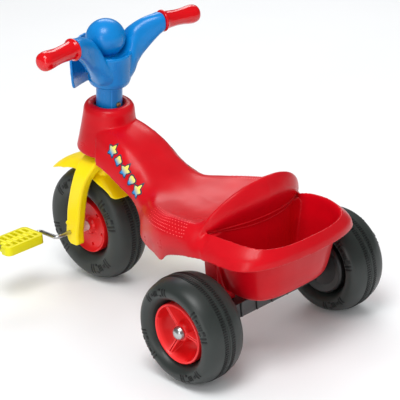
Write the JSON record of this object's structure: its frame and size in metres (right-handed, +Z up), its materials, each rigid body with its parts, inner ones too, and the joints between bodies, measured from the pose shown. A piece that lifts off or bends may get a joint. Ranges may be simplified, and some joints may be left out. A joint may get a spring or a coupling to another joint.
{
  "type": "children's tricycle",
  "caption": "Toddler ride-on tricycle with a moulded saddle body, rear tray, steerable pedal-driven front wheel and two free rear wheels.",
  "frame": {"origin": "on the ground under the middle of the tricycle's footprint", "axes": "+Z up, +Y towards the rear tray, so the tricycle faces -Y, and +X is the rider's left"},
  "size_m": [0.379, 0.595, 0.4555],
  "materials": {
    "body_red": "glossy moulded red",
    "rim_red": "moulded orange red",
    "grip_red": "high gloss red",
    "cowl_blue": "glossy moulded blue",
    "fork_yellow": "glossy moulded yellow",
    "pedal_yellow": "satin greenish yellow",
    "tyre": "satin dark grey",
    "black_plastic": "satin black",
    "nylon": "natural nylon",
    "steel": "zinc plated steel",
    "brass": "plated screw"
  },
  "bodies": {
    "frame": {"body_shell": "body_red", "head_bush_upper": "nylon", "head_bush_lower": "nylon", "axle_carrier": "black_plastic", "rear_axle": "steel", "carrier_screw_left": "steel", "carrier_screw_right": "steel", "axle_cap_left": "steel", "axle_cap_right": "steel", "axle_washer_left": "steel", "axle_washer_right": "steel"},
    "steering": {"fork": "fork_yellow", "handlebar": "cowl_blue", "stem_screw": "brass", "grip_left": "grip_red", "grip_right": "grip_red", "crank_spacer_left": "nylon", "crank_spacer_right": "nylon"},
    "front_wheel": {"front_tyre": "tyre", "crank_rod": "steel", "front_rim_left": "rim_red", "front_rim_right": "rim_red", "pedal_cap_left": "black_plastic", "pedal_cap_right": "black_plastic"},
    "pedal_left": {"pedal_left": "pedal_yellow"},
    "pedal_right": {"pedal_right": "pedal_yellow"},
    "rear_wheel_left": {"rear_tyre_left": "tyre", "rear_rim_left": "rim_red", "rear_hub_left": "black_plastic"},
    "rear_wheel_right": {"rear_tyre_right": "tyre", "rear_rim_right": "rim_red", "rear_hub_right": "black_plastic"}
  },
  "joints": [
    {"name": "steer", "type": "hinge", "parent": "frame", "child": "steering", "pos_m": [0, -0.1541, 0.24], "axis": [0, 0.1503, 0.9886], "range_deg": [-40, 40]},
    {"name": "front_wheel_spin", "type": "hinge", "parent": "steering", "child": "front_wheel", "pos_m": [0, -0.2, 0.0975], "axis": [1, 0, 0], "continuous": true},
    {"name": "pedal_left_spin", "type": "hinge", "parent": "front_wheel", "child": "pedal_left", "pos_m": [0.1375, -0.245, 0.0975], "axis": [1, 0, 0], "continuous": true},
    {"name": "pedal_right_spin", "type": "hinge", "parent": "front_wheel", "child": "pedal_right", "pos_m": [-0.1375, -0.155, 0.0975], "axis": [1, 0, 0], "continuous": true},
    {"name": "rear_wheel_left_spin", "type": "hinge", "parent": "frame", "child": "rear_wheel_left", "pos_m": [0.152, 0.186, 0.0825], "axis": [1, 0, 0], "continuous": true},
    {"name": "rear_wheel_right_spin", "type": "hinge", "parent": "frame", "child": "rear_wheel_right", "pos_m": [-0.152, 0.186, 0.0825], "axis": [1, 0, 0], "continuous": true}
  ]
}
